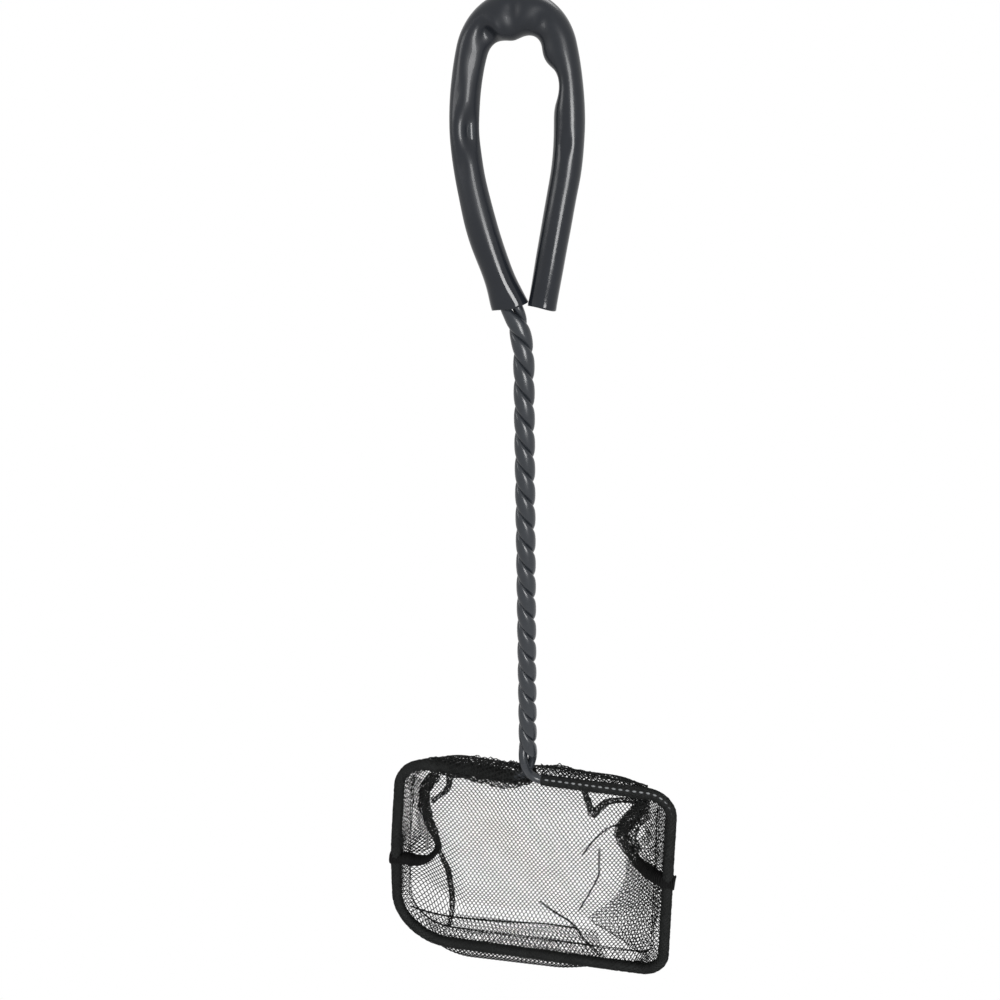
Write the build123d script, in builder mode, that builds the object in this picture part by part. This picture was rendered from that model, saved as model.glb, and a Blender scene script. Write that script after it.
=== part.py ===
"""Aquarium fish net: a hoop and a twisted shaft bent from one length of vinyl-coated wire, a vinyl
sleeve round the grip loop, and a netting bag hemmed onto the hoop. Millimetres, +Z up the shaft, the
bag behind the hoop at +Y, the origin at the hanging point inside the top of the grip loop."""

import os
from math import acos, ceil, cos, pi, radians, sin, sqrt, tan

from build123d import *

# Coated wire: a steel core in a bonded vinyl coat
core_diameter = 2.2
coat_thickness = 0.5

# Twisted shaft, left-hand lay
twist_pitch = 16.5
half_turns = 19
strand_gap = 0.2
shaft_bend_radius = 40.0
shaft_bend_angle = 23.0

# Grip loop and its sleeve
grip_length = 77.0
sleeve_wall = 0.8
sleeve_clearance = 0.15
crown_radius = 12.7
left_flare = 16.0
right_flare = 14.0
free_end_tilt = 10.0
sleeve_end_gap = 0.5
wire_end_inset = 6.0

# Hoop, as corner points of the wire's centre line measured from the shaft and from the top bar
strand_spread = 12.2
bar_start = 10.0
top_left_reach = 49.4
bottom_left_reach = 55.8
top_right_reach = 51.8
bottom_right_reach = 52.2
left_height = 88.0
right_height = 82.4
top_corner_radius = 9.0
right_corner_radius = 9.0
left_corner_radius = 20.0

# Netting drawn round the hoop wire
casing_wall = 0.35
casing_clearance = 0.1
casing_start = 12.0

# Netting bag: its wall, and how far it lies behind the hoop, is drawn in, falls and sags
bag_wall = 0.5
seat_gap = 0.3
hem_depth = 6.0
hem_draw = 1.5
hem_fall = 3.5
hem_sag = 3.0
waist_depth = 13.0
waist_draw = 9.0
waist_fall = 26.0
waist_sag = 6.0
back_depth = 19.0
back_draw = 17.0
back_fall = 58.0
back_sag = 4.0
corner_steps = 4
corner_room = 0.98

# Coarse openings that stand for the mesh of the netting
mesh_pitch = 10.4
mesh_opening = 7.4
mesh_columns = 9
mesh_rows = 7
mesh_drop = 42.0

# Side seams and hem stitching
seam_diameter = 2.2
seam_collar_wall = 0.45
seam_collar_length = 4.0
seam_height_share = 0.5
seam_foot_rise = 12.0
seam_hem_share = 0.05
seam_waist_share = 0.4
seam_hem_radius = 4.0
seam_waist_radius = 10.0
wall_slant = 2.4
hem_thread_diameter = 0.5

# Flats that stand for a round section, and how finely the wire's bends are stepped
wire_sides = 10
sleeve_sides = 16
casing_sides = 10
cord_sides = 8
steps_per_turn = 12
bend_sag = 0.06

# Fits worked out from the sizes above
wire_radius = core_diameter / 2 + coat_thickness
strand_offset = wire_radius + strand_gap / 2
sleeve_bore = strand_offset + wire_radius + sleeve_clearance
sleeve_radius = sleeve_bore + sleeve_wall
casing_bore = wire_radius + casing_clearance
casing_radius = casing_bore + casing_wall
collar_bore = casing_radius + casing_clearance
collar_radius = collar_bore + seam_collar_wall
bag_mouth = casing_radius + seat_gap
seam_radius = seam_diameter / 2
thread_radius = hem_thread_diameter / 2

# The shaft's centre line: straight up from the hoop, then a bend into the left leg of the grip
twist_length = half_turns * twist_pitch / 2
ease_start = twist_length - twist_pitch / 4
ease_length = twist_pitch / 2
bend_length = shaft_bend_radius * radians(shaft_bend_angle)
straight_length = twist_length - bend_length
twist_foot = -grip_length - shaft_bend_radius * sin(radians(shaft_bend_angle)) - straight_length
hoop_top = twist_foot - strand_spread


def right_of(direction):
    """The unit vector to the right of a direction that lies in the plane of the hoop."""
    return Vector(direction.Z, 0, -direction.X)


def shaft(along):
    """Point and direction on the shaft's centre line, measured up from the foot of the twist."""
    if along <= straight_length:
        return Vector(0, 0, twist_foot + along), Vector(0, 0, 1)
    turn = (along - straight_length) / shaft_bend_radius
    sideways = -shaft_bend_radius * (1 - cos(turn))
    rise = shaft_bend_radius * sin(turn)
    return Vector(sideways, 0, twist_foot + straight_length + rise), Vector(-sin(turn), 0, cos(turn))


def biarc_joint(start, end):
    """Where the two arcs of a smooth biarc between two stations meet, and their direction there."""
    (here, leaving), (there, arriving) = start, end
    span = there - here
    both = leaving + arriving
    bend = both.dot(both) - 4
    slope = -2 * span.dot(both)
    reach = span.dot(span)
    if abs(bend) < 1e-9:
        arm = -reach / slope
    else:
        arm = (-slope - sqrt(slope**2 - 4 * bend * reach)) / (2 * bend)
    first = here + leaving * arm
    second = there - arriving * arm
    return (first + second) * 0.5, (second - first).normalized()


def bent(stations):
    """The same stations with steps between them, along a smooth run of biarcs."""
    filled = [stations[0]]
    for start, end in zip(stations, stations[1:]):
        joint = biarc_joint(start, end)
        for near, far in ((start, joint), (joint, end)):
            arc = TangentArc(near[0], far[0], tangent=near[1], mode=Mode.PRIVATE)
            steps = ceil(radians(near[1].get_angle(far[1])) / (2 * acos(1 - bend_sag / arc.radius)))
            filled += [(arc @ (step / steps), arc % (step / steps)) for step in range(1, steps + 1)]
    return filled


def crown(angle):
    """Point and direction on the arc over the top of the grip loop, run from left to right."""
    centre = Vector(0, 0, sleeve_radius - crown_radius)
    point = centre + Vector(cos(angle), 0, sin(angle)) * crown_radius
    return point, Vector(sin(angle), 0, -cos(angle))


# Stations of the sleeve's centre line, from its mouth on the shaft to its free end beside it
mouth = shaft(twist_length)
crown_left = crown(pi - radians(left_flare))
crown_right = crown(radians(right_flare))
left_leg = biarc_joint(mouth, crown_left)
mouth_edge = mouth[0].X + sleeve_radius * mouth[1].Z
free_end = Vector(mouth_edge + sleeve_end_gap + sleeve_radius, 0, -grip_length)
free_leg = (free_end, Vector(-sin(radians(free_end_tilt)), 0, -cos(radians(free_end_tilt))))
right_leg = biarc_joint(crown_right, free_leg)
lower_leg = TangentArc(right_leg[0], free_end, tangent=right_leg[1], mode=Mode.PRIVATE)
wire_share = 1 - wire_end_inset / lower_leg.length
wire_end = (lower_leg @ wire_share, lower_leg % wire_share)
sleeve_stations = [mouth, left_leg, crown_left, crown_right, right_leg, free_leg]
sleeve_foot = TangentArc(mouth[0], left_leg[0], tangent=mouth[1], mode=Mode.PRIVATE)
tail_stations = sleeve_stations[1:-1] + [wire_end]


def strand(along, phase):
    """Point and upward direction on one strand, which stops twisting just inside the sleeve."""
    inside = (along - twist_length) / sleeve_foot.length
    centre, up = shaft(along) if inside <= 0 else (sleeve_foot @ inside, sleeve_foot % inside)
    eased = max(0, along - ease_start)
    turn = phase - 2 * pi * (along - eased**2 / (2 * ease_length)) / twist_pitch
    rate = 2 * pi * (1 - eased / ease_length) / twist_pitch
    outward = right_of(up) * cos(turn) + Vector(0, 1, 0) * sin(turn)
    around = right_of(up) * sin(turn) - Vector(0, 1, 0) * cos(turn)
    return centre + outward * strand_offset, (up + around * strand_offset * rate).normalized()


def strand_stations(phase, side):
    """One strand from the foot of the twist up to its cut end in the free leg of the sleeve."""
    steps = steps_per_turn * (2 * half_turns + 1) // 4
    twist = [strand(step * twist_pitch / steps_per_turn, phase) for step in range(steps + 1)]
    tail = [(point + right_of(way) * side * strand_offset, way) for point, way in tail_stations]
    return twist[:-1] + bent([twist[-1]] + tail)


def reversed_run(stations):
    """The same run of stations, walked the other way."""
    return [(point, way * -1) for point, way in reversed(stations)]


hoop_corners = [
    Vector(-top_left_reach, 0, hoop_top),
    Vector(-bottom_left_reach, 0, hoop_top - left_height),
    Vector(bottom_right_reach, 0, hoop_top - right_height),
    Vector(top_right_reach, 0, hoop_top),
]
hoop_radii = [top_corner_radius, left_corner_radius, right_corner_radius, top_corner_radius]
left_strand = strand_stations(0, -1)
right_strand = strand_stations(pi, 1)
left_bar = (Vector(-bar_start, 0, hoop_top), Vector(-1, 0, 0))
right_bar = (Vector(bar_start, 0, hoop_top), Vector(-1, 0, 0))


def corner_reach(before, corner, after, radius):
    """How far from a corner point its rounding begins."""
    return radius * tan(radians((corner - before).get_angle(after - corner) / 2))


def round_corner(before, corner, after, radius):
    """The stations where a round corner begins and ends."""
    arriving = (corner - before).normalized()
    leaving = (after - corner).normalized()
    reach = corner_reach(before, corner, after, radius)
    return (corner - arriving * reach, arriving), (corner + leaving * reach, leaving)


def rings(stations, radius, sides, bore=False):
    """Round sections square to a route, drawn with flats that lie inside the round, or outside a bore."""
    sections = []
    for point, way in stations:
        square = Plane(origin=point, x_dir=Vector(0, 1, 0) - way * way.Y, z_dir=way)
        with BuildSketch(square) as section:
            RegularPolygon(radius, sides, major_radius=not bore)
        sections.append(section.sketch)
    return sections


# The whole wire in one run: cut end, grip, twist, hoop, twist, grip, cut end
hoop_route = [left_bar[0]] + hoop_corners + [right_bar[0]]
hoop_stations = []
for index, radius in enumerate(hoop_radii):
    hoop_stations += bent(round_corner(*hoop_route[index : index + 3], radius))
left_half = reversed_run(left_strand)[:-1] + bent([reversed_run(left_strand)[-1], left_bar])
right_half = bent([right_bar, right_strand[0]]) + right_strand[1:]

# Coated wire
with BuildPart() as coated_wire:
    loft(rings(left_half + hoop_stations + right_half, wire_radius, wire_sides), ruled=True)

# Vinyl sleeve round both strands in the grip loop
with BuildPart() as grip_sleeve:
    loft(rings(bent(sleeve_stations), sleeve_radius, sleeve_sides), ruled=True)
    loft(rings(bent(sleeve_stations), sleeve_bore, sleeve_sides, bore=True), ruled=True, mode=Mode.SUBTRACT)

# Hem of the netting, drawn tight round the hoop wire on both sides of the shaft
casing_ends = [(Vector(side * casing_start, 0, hoop_top), Vector(-1, 0, 0)) for side in (-1, 1)]
casing_stations = casing_ends[:1] + hoop_stations + casing_ends[1:]
with BuildPart() as rim_casing:
    loft(rings(casing_stations, casing_radius, casing_sides), ruled=True)
    loft(rings(casing_stations, casing_bore, casing_sides, bore=True), ruled=True, mode=Mode.SUBTRACT)


def bag_corners(draw, fall, sag):
    """Corner points of the bag's outline where it is drawn in, has fallen and sags this much."""
    top_left, bottom_left, bottom_right, top_right = hoop_corners
    return [
        (top_left.X + draw, top_left.Z - fall),
        (bottom_left.X + draw, bottom_left.Z - sag),
        (bottom_right.X - draw, bottom_right.Z - sag),
        (top_right.X - draw, top_right.Z - fall),
    ]


def rounded_points(corners, radii):
    """Points round an outline, its corners rounded as far as its sides have room for."""
    ahead = [Vector(*corner) for corner in corners]
    trios = list(zip(ahead[-1:] + ahead[:-1], ahead, ahead[1:] + ahead[:1]))
    reaches = [corner_reach(*trio, radius) for trio, radius in zip(trios, radii)]
    rooms = [(trio[2] - trio[1]).length for trio in trios]
    room = min(side / (one + other) for side, one, other in zip(rooms, reaches, reaches[1:] + reaches[:1]))
    points = []
    for trio, radius in zip(trios, radii):
        begin, end = round_corner(*trio, radius * min(1, corner_room * room))
        arc = TangentArc(begin[0], end[0], tangent=begin[1], mode=Mode.PRIVATE)
        points += [arc @ (step / corner_steps) for step in range(corner_steps + 1)]
    return points


def bag_section(depth, draw, fall, sag, inset=0):
    """One outline of the bag in a plane behind the hoop, inset from its outer surface."""
    corners = bag_corners(draw + inset, fall + inset, sag - inset)
    with BuildSketch(Plane.XZ.offset(inset - depth)) as section:
        with BuildLine():
            Polyline(*rounded_points(corners, [radius - inset for radius in hoop_radii]), close=True)
        make_face()
    return section.sketch


bag_rows = [
    (bag_mouth, 0, 0, 0),
    (hem_depth, hem_draw, hem_fall, hem_sag),
    (waist_depth, waist_draw, waist_fall, waist_sag),
    (back_depth, back_draw, back_fall, back_sag),
]
seam_bars = {"left": (hoop_corners[0], hoop_corners[1]), "right": (hoop_corners[3], hoop_corners[2])}


def bar_plane(side):
    """The plane across the side bar of the hoop where that side's seam begins."""
    top, bottom = seam_bars[side]
    return Plane(origin=top + (bottom - top) * seam_height_share, z_dir=bottom - top)


# Netting bag, open at the hoop
with BuildPart() as net_bag:
    loft([bag_section(*row) for row in bag_rows], ruled=True)
    loft([bag_section(*row, inset=bag_wall) for row in bag_rows], ruled=True, mode=Mode.SUBTRACT)
    for side in seam_bars:
        with BuildSketch(bar_plane(side)):
            Circle(collar_radius + seat_gap)
        extrude(amount=seam_collar_length / 2 + seat_gap, both=True, mode=Mode.SUBTRACT)
    with BuildSketch(Plane.XZ.offset(-back_depth - bag_wall)):
        with Locations((0, hoop_top - mesh_drop)):
            with GridLocations(mesh_pitch, mesh_pitch, mesh_columns, mesh_rows):
                Rectangle(mesh_opening, mesh_opening)
    extrude(amount=back_depth - bag_mouth, mode=Mode.SUBTRACT)

# Side seams, rolled and overlocked: a collar round the rim, then a cord down the inside of the bag
seam_standoff = wall_slant * (seam_radius + seat_gap)


def seam_points(side, inward):
    """Corner points of a seam cord, from its collar down the inside of the bag's side wall."""
    start = bar_plane(side).origin
    drop = start.Z - seam_bars[side][1].Z - seam_foot_rise
    places = [
        (hem_depth, hem_draw, seam_hem_share),
        (waist_depth, waist_draw, seam_waist_share),
        (back_depth - seam_standoff, back_draw, 1),
    ]
    points = [start + Vector(inward * (collar_bore + seam_radius), 0, 0)]
    for depth, draw, share in places:
        sideways = inward * (draw + bag_wall + seam_standoff)
        points.append(start + Vector(sideways, depth - bag_wall, -drop * share))
    return points


seam_parts = {}
for side, inward in (("left", 1), ("right", -1)):
    points = seam_points(side, inward)
    with BuildPart() as seam:
        with BuildSketch(bar_plane(side)):
            Circle(collar_radius)
            Circle(collar_bore, mode=Mode.SUBTRACT)
        extrude(amount=seam_collar_length / 2, both=True)
        with BuildLine() as seam_route:
            FilletPolyline(*points, radius=[seam_hem_radius, seam_waist_radius])
        with BuildSketch(Plane(origin=points[0], z_dir=points[1] - points[0])):
            RegularPolygon(seam_radius, cord_sides)
        sweep(path=seam_route.wire())
    seam_parts[side] = seam

# Hem stitching, one thread round the outside of the bag behind the rim
hem_standoff = wall_slant * (thread_radius + seat_gap)
with BuildPart() as hem_thread:
    with BuildLine(Plane.XZ.offset(-hem_depth)) as hem_route:
        hem_points = bag_corners(hem_draw - hem_standoff, hem_fall - hem_standoff, hem_sag + hem_standoff)
        FilletPolyline(*hem_points, radius=[radius + hem_standoff for radius in hoop_radii], close=True)
    with BuildSketch(Plane(origin=hem_route.line @ 0, x_dir=(0, 1, 0), z_dir=hem_route.line % 0)):
        RegularPolygon(thread_radius, cord_sides)
    sweep(path=hem_route.wire())

# Finished pieces
pieces = {
    "coated_wire": coated_wire,
    "grip_sleeve": grip_sleeve,
    "rim_casing": rim_casing,
    "net_bag": net_bag,
    "left_side_seam": seam_parts["left"],
    "right_side_seam": seam_parts["right"],
    "hem_thread": hem_thread,
}
os.makedirs("parts", exist_ok=True)
for name, piece in pieces.items():
    piece.part.label = name
    export_step(piece.part, f"parts/{name}.step")

# Least gap between the two strands, on points along the twist and the grip
apart = min((near[0] - far[0]).length for near in left_strand for far in right_strand)
print("least gap between strands", round(apart - 2 * wire_radius, 3))
print("hoop top", round(hoop_top, 2), "free leg radius", round(lower_leg.radius, 1))
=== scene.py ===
"""Aquarium fish net with a twisted wire handle, as an add-on: each operator dresses one piece."""

import math
from functools import lru_cache

import bpy
import numpy as np
from bpy.props import FloatProperty, FloatVectorProperty, IntProperty, PointerProperty
from mathutils import Matrix, Vector, noise


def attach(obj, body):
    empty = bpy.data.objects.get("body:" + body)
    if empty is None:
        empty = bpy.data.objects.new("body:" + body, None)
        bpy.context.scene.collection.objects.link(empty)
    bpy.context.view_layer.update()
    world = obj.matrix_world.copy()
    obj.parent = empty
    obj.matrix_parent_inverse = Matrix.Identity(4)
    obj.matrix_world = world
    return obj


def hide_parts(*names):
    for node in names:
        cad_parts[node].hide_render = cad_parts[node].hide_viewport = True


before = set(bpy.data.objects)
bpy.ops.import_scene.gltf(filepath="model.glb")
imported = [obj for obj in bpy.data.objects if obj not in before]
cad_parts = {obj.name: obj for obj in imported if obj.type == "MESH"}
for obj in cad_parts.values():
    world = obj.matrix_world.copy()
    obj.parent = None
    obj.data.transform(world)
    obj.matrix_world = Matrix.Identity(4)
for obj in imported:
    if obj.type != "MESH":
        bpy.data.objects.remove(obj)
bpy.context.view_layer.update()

bl_info = {
    "name": "Aquarium Fish Net",
    "version": (1, 0, 0),
    "blender": (4, 2, 0),
    "location": "3D View > Sidebar > Fish Net",
    "description": "Dresses a fish net: coated wire, grip sleeve, rim, netting bag and seams",
    "category": "Object",
}

# Lengths are in millimetres and angles in radians, unless a comment says otherwise
METRE = 0.001
BACK = np.array((0.0, 1.0, 0.0))
WHITE = (1.0, 1.0, 1.0, 1.0)
# Below these a bend counts as straight and a length as nought
NO_BEND = 1e-9
NO_LENGTH = 1e-6

# Spacing of the points along each run, and the steps of a smooth curve from knot to knot
STRAND_STEP = 1.0
FOOT_STEP = 0.5
HOOP_STEP = 0.8
SLEEVE_STEP = 0.7
RIM_STEP = 0.7
FOLD_STEP = 0.5
SEAM_STEP = 0.4
KNOT_STEPS = 24

# Shaft: the twist of both strands, how it eases out at its top, and the bend below the grip
TWIST_PITCH = 16.5
TWIST_LENGTH = 156.75
TWIST_STEPS = 240
EASE_LENGTH = TWIST_PITCH / 2
EASE_START = TWIST_LENGTH - TWIST_PITCH / 4
STRAND_OFFSET = 1.7
BEND_RADIUS = 40.0
BEND_ANGLE = math.radians(23.0)
STRAIGHT_LENGTH = TWIST_LENGTH - BEND_RADIUS * BEND_ANGLE
GRIP_LENGTH = 77.0
TWIST_FOOT = -GRIP_LENGTH - BEND_RADIUS * math.sin(BEND_ANGLE) - STRAIGHT_LENGTH

# Pressed faces of the strands: gain in width, power of the flat side, where the press ends as
# shares of the twist, and the rings over which it fades below the foot
PRESSED_WIDTH = 0.5
PRESSED_POWER = 0.7
PRESS_END = (0.975, 1.0)
PRESS_FADE = 16

# Grip loop: the sleeve, the arc over its top, the lean of its legs, and where the wire ends in it
SLEEVE_RADIUS = 4.25
SLEEVE_WALL = 0.8
CROWN_RADIUS = 12.7
LEFT_FLARE = math.radians(16.0)
RIGHT_FLARE = math.radians(14.0)
FREE_TILT = math.radians(10.0)
SLEEVE_END_GAP = 0.5
WIRE_END_SHARE = 0.85
# How the soft grip has settled from its solid: crown aside and down, strands aside in the right leg
CROWN_SHIFT = -1.3
CROWN_SAG = 2.0
STRAND_LEAN = 1.4

# Hoop, as corners of the wire's centre line with their radii
HOOP_TOP = TWIST_FOOT - 12.2
HOOP_CORNERS = (
    (-49.4, 0.0, HOOP_TOP),
    (-55.8, 0.0, HOOP_TOP - 88.0),
    (52.2, 0.0, HOOP_TOP - 82.4),
    (51.8, 0.0, HOOP_TOP),
)
HOOP_RADII = (12.0, 20.0, 9.0, 9.0)
# Outward bow of the left bar, and where that bar begins
LEFT_BOW = 1.3
LEFT_SIDE = -40.0
# How far from the shaft the bar and its hem begin
BAR_START = 6.0
CASING_START = 5.0

# Camera of the picture: where it stands, how it is turned, and its focal length in picture widths
CAMERA_PLACE = np.array((50.60, -251.86, -42.05))
CAMERA_RIGHT = np.array((0.97514, 0.22068, -0.02008))
CAMERA_UP = np.array((-0.05803, 0.34177, 0.93799))
CAMERA_FORWARD = np.array((-0.21386, 0.91351, -0.34608))
FOCAL_SHARE = 0.85
PICTURE_WIDTH = 1000.0


def unit(vectors):
    """The vectors of an array, each brought to length one."""
    return vectors / np.linalg.norm(vectors, axis=-1, keepdims=True)


def right_of(way):
    """The unit vector to the right of a direction in the plane of the hoop."""
    return np.array((way[2], 0.0, -way[0]))


def picture_point(column, row, depth):
    """The point at this depth behind the hoop that the camera sees at a place in the picture."""
    across = (column - PICTURE_WIDTH / 2) / (PICTURE_WIDTH * FOCAL_SHARE)
    rise = (PICTURE_WIDTH / 2 - row) / (PICTURE_WIDTH * FOCAL_SHARE)
    ray = CAMERA_FORWARD + CAMERA_RIGHT * across + CAMERA_UP * rise
    return CAMERA_PLACE + ray * (depth - CAMERA_PLACE[1]) / ray[1]


def shaft(along):
    """Point and direction on the shaft's centre line, measured up from the foot of the twist."""
    if along <= STRAIGHT_LENGTH:
        return np.array((0.0, 0.0, TWIST_FOOT + along)), np.array((0.0, 0.0, 1.0))
    turn = (along - STRAIGHT_LENGTH) / BEND_RADIUS
    sideways = -BEND_RADIUS * (1 - math.cos(turn))
    rise = TWIST_FOOT + STRAIGHT_LENGTH + BEND_RADIUS * math.sin(turn)
    return np.array((sideways, 0.0, rise)), np.array((-math.sin(turn), 0.0, math.cos(turn)))


def crown(angle):
    """Point and direction on the arc over the top of the grip loop, run from left to right."""
    outward = np.array((math.cos(angle), 0.0, math.sin(angle)))
    centre = np.array((CROWN_SHIFT, 0.0, SLEEVE_RADIUS - CROWN_RADIUS - CROWN_SAG))
    return centre + outward * CROWN_RADIUS, np.array((math.sin(angle), 0.0, -math.cos(angle)))


def biarc_joint(start, end):
    """Where the two arcs of a smooth biarc between two stations meet, and their direction there."""
    (here, leaving), (there, arriving) = start, end
    span = there - here
    both = leaving + arriving
    bend = both @ both - 4
    slope = -2 * (span @ both)
    reach = span @ span
    if abs(bend) < NO_BEND:
        arm = -reach / slope
    else:
        arm = (-slope - math.sqrt(slope**2 - 4 * bend * reach)) / (2 * bend)
    first = here + leaving * arm
    second = there - arriving * arm
    return (first + second) / 2, unit(second - first)


def arc_place(start, end_point, share):
    """Point and direction at a share of the arc that leaves a station and ends at a point."""
    here, leaving = start
    chord = end_point - here
    ahead = chord @ leaving
    square = chord - leaving * ahead
    aside = np.linalg.norm(square)
    if aside < NO_LENGTH:
        return here + chord * share, leaving
    inward = square / aside
    radius = (chord @ chord) / (2 * aside)
    turn = 2 * math.atan2(aside, ahead) * share
    point = here + (leaving * math.sin(turn) + inward * (1 - math.cos(turn))) * radius
    return point, leaving * math.cos(turn) + inward * math.sin(turn)


def bent(stations, spacing):
    """The same stations with steps of about this spacing between them, along smooth biarcs."""
    filled = [stations[0]]
    for start, end in zip(stations, stations[1:]):
        joint = biarc_joint(start, end)
        for near, far in ((start, joint), (joint, end)):
            steps = max(1, math.ceil(np.linalg.norm(far[0] - near[0]) / spacing))
            filled += [arc_place(near, far[0], step / steps) for step in range(1, steps + 1)]
    return filled


def split(stations):
    """The points and the directions of stations, as two arrays."""
    return [np.array(column) for column in zip(*stations)]


def grip_stations():
    """Stations of the sleeve's centre line, from its mouth on the shaft to its free end."""
    mouth = shaft(TWIST_LENGTH)
    left_crown = crown(math.pi - LEFT_FLARE)
    right_crown = crown(RIGHT_FLARE)
    mouth_edge = mouth[0][0] + SLEEVE_RADIUS * mouth[1][2]
    free_end = np.array((mouth_edge + SLEEVE_END_GAP + SLEEVE_RADIUS, 0.0, -GRIP_LENGTH))
    free_leg = (free_end, np.array((-math.sin(FREE_TILT), 0.0, -math.cos(FREE_TILT))))
    left_leg = biarc_joint(mouth, left_crown)
    right_leg = biarc_joint(right_crown, free_leg)
    return [mouth, left_leg, left_crown, right_crown, right_leg, free_leg]


def strand_points(phase, side):
    """One strand from the foot of the twist up to its cut end in the free leg of the sleeve."""
    grip = grip_stations()
    foot_length = np.linalg.norm(grip[1][0] - grip[0][0])
    twist = []
    outwards = []
    for step in range(TWIST_STEPS + 1):
        along = step / TWIST_STEPS * (TWIST_LENGTH + TWIST_PITCH / 4)
        inside = (along - TWIST_LENGTH) / foot_length
        centre, up = shaft(along) if inside <= 0 else arc_place(grip[0], grip[1][0], inside)
        eased = max(0.0, along - EASE_START)
        turn = phase - math.tau * (along - eased**2 / (2 * EASE_LENGTH)) / TWIST_PITCH
        rate = math.tau * (1 - eased / EASE_LENGTH) / TWIST_PITCH
        outward = right_of(up) * math.cos(turn) + BACK * math.sin(turn)
        sweep = right_of(up) * math.sin(turn) - BACK * math.cos(turn)
        twist.append((centre + outward * STRAND_OFFSET, unit(up + sweep * STRAND_OFFSET * rate)))
        outwards.append(outward)
    wire_end = arc_place(grip[4], grip[5][0], WIRE_END_SHARE)
    tail = [(point + right_of(way) * side * STRAND_OFFSET, way) for point, way in grip[1:3]]
    for point, way in grip[3:-1] + [wire_end]:
        tail.append((point + BACK * side * STRAND_OFFSET - right_of(way) * STRAND_LEAN, way))
    return twist[:-1] + bent([twist[-1]] + tail, STRAND_STEP), outwards


def hoop_stations(start, spacing):
    """Stations round the hoop, from a start left of the shaft to the same distance on its right."""
    route = [np.array((-start, 0.0, HOOP_TOP))]
    route += [np.array(corner) for corner in HOOP_CORNERS]
    route += [np.array((start, 0.0, HOOP_TOP))]
    stations = [(route[0], np.array((-1.0, 0.0, 0.0)))]
    for before, corner, after, radius in zip(route, route[1:], route[2:], HOOP_RADII):
        arriving = unit(corner - before)
        leaving = unit(after - corner)
        reach = radius * math.tan(math.acos(arriving @ leaving) / 2)
        stations += [(corner - arriving * reach, arriving), (corner + leaving * reach, leaving)]
    stations.append((route[-1], np.array((-1.0, 0.0, 0.0))))
    drop = HOOP_TOP - HOOP_CORNERS[1][2]
    bowed = []
    for point, way in bent(stations, spacing):
        on_left = point[0] < LEFT_SIDE
        lean = math.sin(math.pi * (HOOP_TOP - point[2]) / drop) ** 2 if on_left else 0.0
        bowed.append((point - np.array((LEFT_BOW * lean, 0.0, 0.0)), way))
    return bowed


def hem_line(spacing):
    """Points round the hoop under its hem, with the side and back vectors there."""
    points = split(hoop_stations(CASING_START, spacing))[0]
    return points, *run_frames(points)


def run_length(points):
    """How far along a run each of its points lies."""
    return np.concatenate(([0], np.cumsum(np.linalg.norm(np.diff(points, axis=0), axis=1))))


def between(wanted, known, *fields):
    """Fields of vectors that are known at some places of a run, read off at the wanted ones."""
    return [
        np.column_stack([np.interp(wanted, known, field[:, axis]) for axis in range(3)])
        for field in fields
    ]


def evenly(share, values):
    """Values that are spread evenly from 0 to 1, read off at a share."""
    return np.interp(share, np.linspace(0, 1, len(values)), values)


def smooth_run(points, spacing):
    """Evenly spaced points on a smooth curve through the given points."""
    knots = np.asarray(points, dtype=float)
    padded = np.vstack((2 * knots[0] - knots[1], knots, 2 * knots[-1] - knots[-2]))
    share = np.linspace(0, 1, KNOT_STEPS, endpoint=False)[:, None]
    dense = []
    for before, here, there, after in zip(padded, padded[1:], padded[2:], padded[3:]):
        slope = there - before
        curve = 2 * before - 5 * here + 4 * there - after
        twist = 3 * here - before - 3 * there + after
        dense.append(0.5 * (2 * here + slope * share + curve * share**2 + twist * share**3))
    dense = np.vstack(dense + [knots[-1:]])
    length = run_length(dense)
    wanted = np.linspace(0, length[-1], max(2, round(length[-1] / spacing)) + 1)
    return between(wanted, length, dense)[0]


def smooth_step(value, start, end):
    """A soft step from 0 to 1 between two values."""
    share = np.clip((value - start) / (end - start), 0, 1)
    return share * share * (3 - 2 * share)


def run_frames(points):
    """Side and back vectors at each point of a run, with back as near +Y as can be."""
    ways = unit(np.gradient(points, axis=0))
    back = unit(BACK - ways * ways[:, 1:2])
    return np.cross(back, ways), back


def full_turn(count):
    """This many even angles, once round."""
    return np.arange(count) / count * math.tau


def around(side, back, angle):
    """Vectors that point out from a run at an angle, turned from its side towards its back."""
    return side * np.cos(angle)[..., None] + back * np.sin(angle)[..., None]


# Where each further seed moves the noise
SEED_SHIFT = np.array((17.3, -9.1, 5.7))


def wobble(points, *waves):
    """Smooth noise at each point: a sum of waves, each given by its size, length and seed."""
    total = np.zeros(points.shape[:-1])
    for size, length, seed in waves:
        places = points.reshape(-1, 3) / length + seed * SEED_SHIFT
        values = [noise.noise(Vector(place)) for place in places]
        total += size * np.array(values).reshape(total.shape)
    return total


class Term:
    """A shader value that can stand in a Python sum."""

    def __init__(self, nodes, socket):
        self.nodes = nodes
        self.socket = socket

    def math(self, operation, first, second):
        node = self.nodes.node("ShaderNodeMath", {"operation": operation}, {0: first, 1: second})
        return Term(self.nodes, node.outputs[0])

    def __add__(self, other):
        return self.math("ADD", self, other)

    def __radd__(self, other):
        return self.math("ADD", other, self)

    def __sub__(self, other):
        return self.math("SUBTRACT", self, other)

    def __rsub__(self, other):
        return self.math("SUBTRACT", other, self)

    def __mul__(self, other):
        return self.math("MULTIPLY", self, other)

    def __rmul__(self, other):
        return self.math("MULTIPLY", other, self)


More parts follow.
